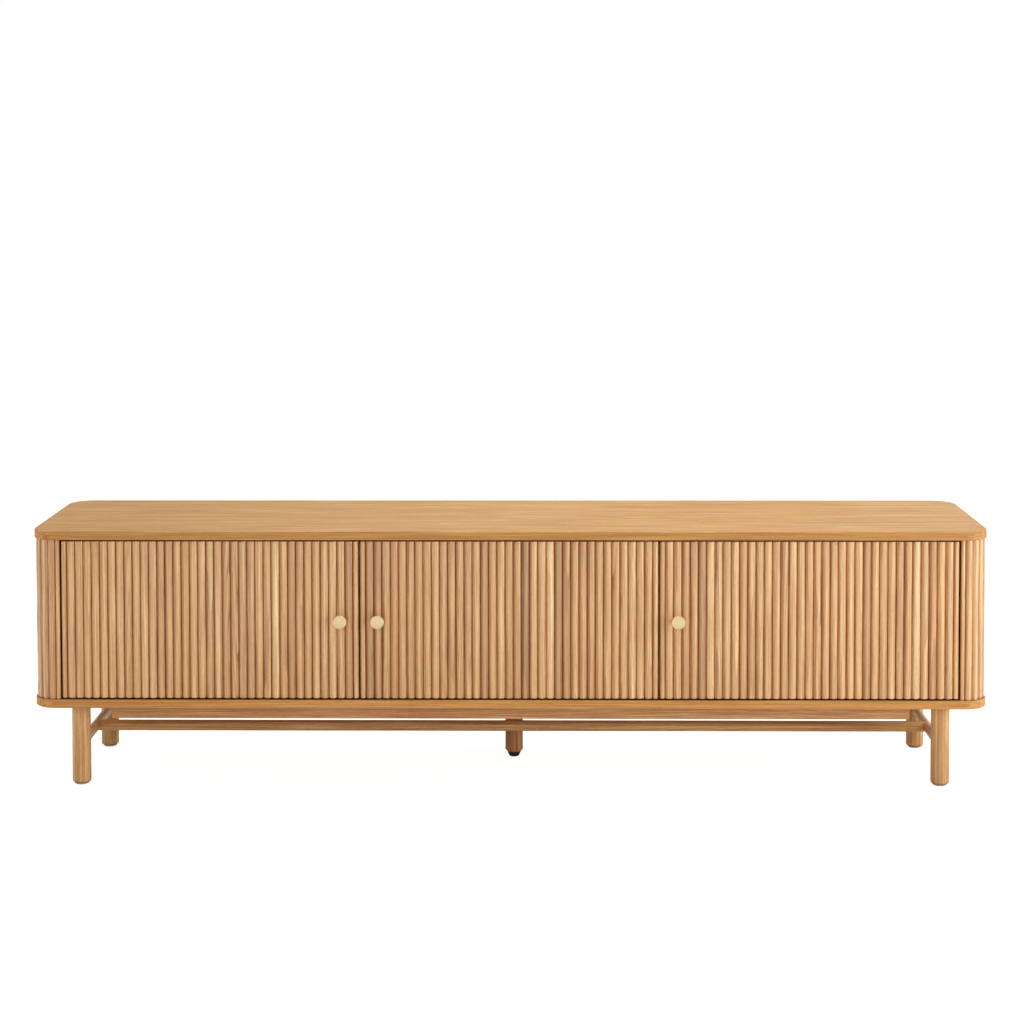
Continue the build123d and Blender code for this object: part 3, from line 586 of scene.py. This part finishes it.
def make_end_slats(end, side):
    """The slats that wrap one end: front corner, side and rear corner."""
    post_low, post_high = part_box("corner_post_front_" + end)
    slat_low, slat_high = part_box("side_slats_" + end)
    deep = slat_high.x - slat_low.x
    inner = min(abs(post_low.x), abs(post_high.x))
    base_y = post_low.y
    turn_y = post_high.y
    base_radius = turn_y - base_y
    crown_radius = base_radius + deep
    corner_x = max(abs(post_low.x), abs(post_high.x)) - base_radius
    rear_turn_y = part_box("corner_post_rear_" + end)[0].y
    flat = corner_x - inner
    turn = crown_radius * math.pi / 2
    run = rear_turn_y - turn_y
    wrap = flat + 2 * turn + run
    starts = [0.0] + [FIRST_END_SLAT + i * END_PITCH for i in range(FULL_END_SLATS + 1)] + [wrap]
    for group, (first, last) in GROUPS.items():
        mesh, layers = new_slat_mesh()
        for index in range(first, last):
            cell = starts[index + 1] - starts[index]
            distance = (starts[index] + starts[index + 1]) / 2
            if distance < flat:
                angle, middle = 0.0, None
                base = Vector((side * (inner + distance), base_y, 0))
            elif distance < flat + turn:
                angle, middle = (distance - flat) / crown_radius, turn_y
            elif distance < flat + turn + run:
                angle, middle = math.pi / 2, None
                base = Vector((side * (corner_x + base_radius), turn_y + distance - flat - turn, 0))
            else:
                angle, middle = (distance - flat - run) / crown_radius, rear_turn_y
            outward = Vector((side * math.sin(angle), -math.cos(angle), 0))
            half = SLAT_WIDTH / 2 * cell / END_PITCH
            shoulder = half
            if middle is not None:
                base = Vector((side * corner_x, middle, 0)) + outward * base_radius
                half = cell / 2 * base_radius / crown_radius - CURVED_GAP
                shoulder = half + SLAT_SHOULDER * math.tan(END_PITCH / 2 / crown_radius)
            grown = deep - rng.uniform(0, END_DEPTH_SPREAD) * MM
            add_slat(mesh, layers, base, outward, slat_low.z, slat_high.z, half, shoulder, grown)
        name = group.replace("slats", "fluting") + "_" + end
        piece = finish_mesh(mesh, name, "carcass", slat_material(name, END_SEED))
        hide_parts(f"{group}_{end}")


# ---------------------------------------------------------------- knobs

KNOB_STEPS = 72
KNOB_HEAD = 5.0 * MM


def make_knob(door):
    """A turned knob: a flat disc with an eased edge, a shallow dish and a waisted stem."""
    node = "knob_" + door
    low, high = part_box(node)
    centre = (low + high) / 2
    radius = (high.x - low.x) / 2
    length = high.y - low.y
    profile = [
        (0.0, 0.12 * MM),
        (radius * 0.45, 0.10 * MM),
        (radius - 1.6 * MM, 0.05 * MM),
        (radius - 1.3 * MM, 0.0),
        (radius - 0.7 * MM, 0.0),
        (radius - 0.28 * MM, 0.1 * MM),
        (radius - 0.06 * MM, 0.34 * MM),
        (radius, 0.8 * MM),
        (radius, KNOB_HEAD - 0.8 * MM),
        (radius - 0.25 * MM, KNOB_HEAD - 0.25 * MM),
        (radius - 0.8 * MM, KNOB_HEAD),
        (radius * 0.55, KNOB_HEAD + 0.3 * MM),
        (radius * 0.42, KNOB_HEAD + 1.4 * MM),
        (radius * 0.385, KNOB_HEAD + 4.5 * MM),
        (radius * 0.38, length * 0.6),
        (radius * 0.41, length * 0.82),
        (radius * 0.46, length - 1.0 * MM),
        (radius * 0.46, length - 0.05 * MM),
        (0.0, length - 0.05 * MM),
    ]
    mesh = bmesh.new()
    turned = mesh.verts.layers.float.new(KNOB_FACT)
    rings = []
    for r, y in profile:
        ring = []
        count = KNOB_STEPS if r > 0 else 1
        for step in range(count):
            angle = 2 * math.pi * step / count
            x, z = centre.x + r * math.cos(angle), centre.z + r * math.sin(angle)
            vertex = mesh.verts.new((x, low.y + y, z))
            vertex[turned] = r + y
            ring.append(vertex)
        rings.append(ring)
    for lower, upper in zip(rings, rings[1:]):
        for i in range(KNOB_STEPS):
            j = (i + 1) % KNOB_STEPS
            corners = [lower[k % len(lower)] for k in (i, j)] + [upper[k % len(upper)] for k in (j, i)]
            mesh.faces.new(list(dict.fromkeys(corners)))
    piece = finish_mesh(mesh, "turned_knob_" + door, "door_" + door, brass("brass_" + door))
    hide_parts(node)


# ---------------------------------------------------------------- floor and light


def camera_only(n, seen, lit):
    """seen where the camera looks straight at it, and lit for every other ray."""
    return n.make("ShaderNodeMixShader", {0: n.make("ShaderNodeLightPath"), 1: lit, 2: seen})


FLOOR_GLOW = 0.84
FLOOR_BOUNCE = 0.3
FLOOR_REACH = 4.0
FLOOR_HALF_SIZE = 30
PAPER_PALE = (0.86, 0.79, 0.70, 1.0)
PAPER_WARM = (0.82, 0.75, 0.66, 1.0)
PAPER_SEEN = (0.5, 0.5, 0.5, 1.0)


def make_stage():
    """A pale studio floor, so bright that it runs into the background with only a faint shadow."""
    n = Nodes(bpy.data.materials.new("stage"))
    place = n.make("ShaderNodeTexCoord", output=3)
    cloud = n.noise(place, (0.6, 0.6, 0.6), 2.0)
    base = n.mix(cloud, PAPER_PALE, PAPER_WARM)
    away = n.make("ShaderNodeVectorMath", {0: place}, 1, operation="LENGTH")
    away = n.math("DIVIDE", away, FLOOR_REACH)
    paper = n.make("ShaderNodeBsdfDiffuse", {"Color": base})
    bounce = n.ramp(away, (0.25, 0.0), (0.45, FLOOR_BOUNCE))
    bright = n.make("ShaderNodeEmission", {"Color": WHITE, "Strength": bounce})
    lit = n.make("ShaderNodeAddShader", {0: paper, 1: bright})
    dim = n.make("ShaderNodeBsdfDiffuse", {"Color": PAPER_SEEN})
    strength = n.ramp(away, (0.3, FLOOR_GLOW), (0.9, 1.0))
    glow = n.make("ShaderNodeEmission", {"Color": WHITE, "Strength": strength})
    seen = n.make("ShaderNodeAddShader", {0: dim, 1: glow})
    material = n.output("ShaderNodeOutputMaterial", camera_only(n, seen, lit))
    mesh = bmesh.new()
    bmesh.ops.create_grid(mesh, x_segments=1, y_segments=1, size=FLOOR_HALF_SIZE)
    data = bpy.data.meshes.new("floor")
    mesh.to_mesh(data)
    mesh.free()
    floor = bpy.data.objects.new("floor", data)
    bpy.context.scene.collection.objects.link(floor)
    data.materials.append(material)


WORLD_LIGHT = 0.04
BACKDROP_LIGHT = 0.5
BACKDROP_TOWARDS = (0.35, 0.94, 0.0)
NEUTRAL = (1.0, 1.0, 1.0)
WARM = (1.0, 0.88, 0.76)
LIGHTS = (
    # name, place, aim, size, watts, colour
    ("key_right", (4.0, -2.2, 1.4), (0.2, 0.0, 0.35), (2.4, 2.0), 112, NEUTRAL),
    ("panel_right", (3.4, 0.1, 1.2), (0.0, 0.0, 0.35), (2.0, 1.8), 14, NEUTRAL),
    ("panel_rear_right", (2.4, 3.0, 1.3), (0.3, 0.0, 0.4), (2.5, 1.8), 10, NEUTRAL),
    ("panel_left", (-3.2, -0.3, 1.2), (0.0, 0.0, 0.35), (2.0, 1.8), 28, NEUTRAL),
    ("top", (0.4, 0.2, 2.8), (0.1, 0.0, 0.5), (3.0, 1.2), 65, NEUTRAL),
    ("front", (-0.6, -4.5, 2.2), (0.0, 0.0, 0.4), (2.5, 1.6), 64, WARM),
)


def area_light(name, place, aim, size, watts, colour):
    data = bpy.data.lights.new(name, "AREA")
    data.shape = "RECTANGLE"
    data.size, data.size_y = size
    data.energy = watts
    data.color = colour
    light = bpy.data.objects.new(name, data)
    bpy.context.scene.collection.objects.link(light)
    light.location = place
    light.rotation_euler = (Vector(aim) - Vector(place)).to_track_quat("-Z", "Y").to_euler()
    light.visible_camera = False


def make_world():
    """White to the camera; as light, a bright backdrop behind the cabinet and a dim room in front."""
    n = Nodes(bpy.data.worlds.new("studio"))
    direction = n.make("ShaderNodeTexCoord")
    inputs = {0: direction, 1: BACKDROP_TOWARDS}
    behind = n.make("ShaderNodeVectorMath", inputs, 1, operation="DOT_PRODUCT")
    strength = n.ramp(behind, (0.0, WORLD_LIGHT), (0.5, BACKDROP_LIGHT))
    lit = n.make("ShaderNodeBackground", {"Color": WHITE, "Strength": strength})
    seen = n.make("ShaderNodeBackground", {"Color": WHITE})
    bpy.context.scene.world = n.output("ShaderNodeOutputWorld", camera_only(n, seen, lit))


def make_lights():
    make_world()
    for light in LIGHTS:
        area_light(*light)
    bpy.context.scene.view_settings.view_transform = "Standard"


# ---------------------------------------------------------------- put it together

make_camera()
finish_cad_nodes()
for door in ("left", "middle", "right"):
    make_door_slats(door)
    make_knob(door)
for end, side in (("left", -1), ("right", 1)):
    make_end_slats(end, side)
make_stage()
make_lights()
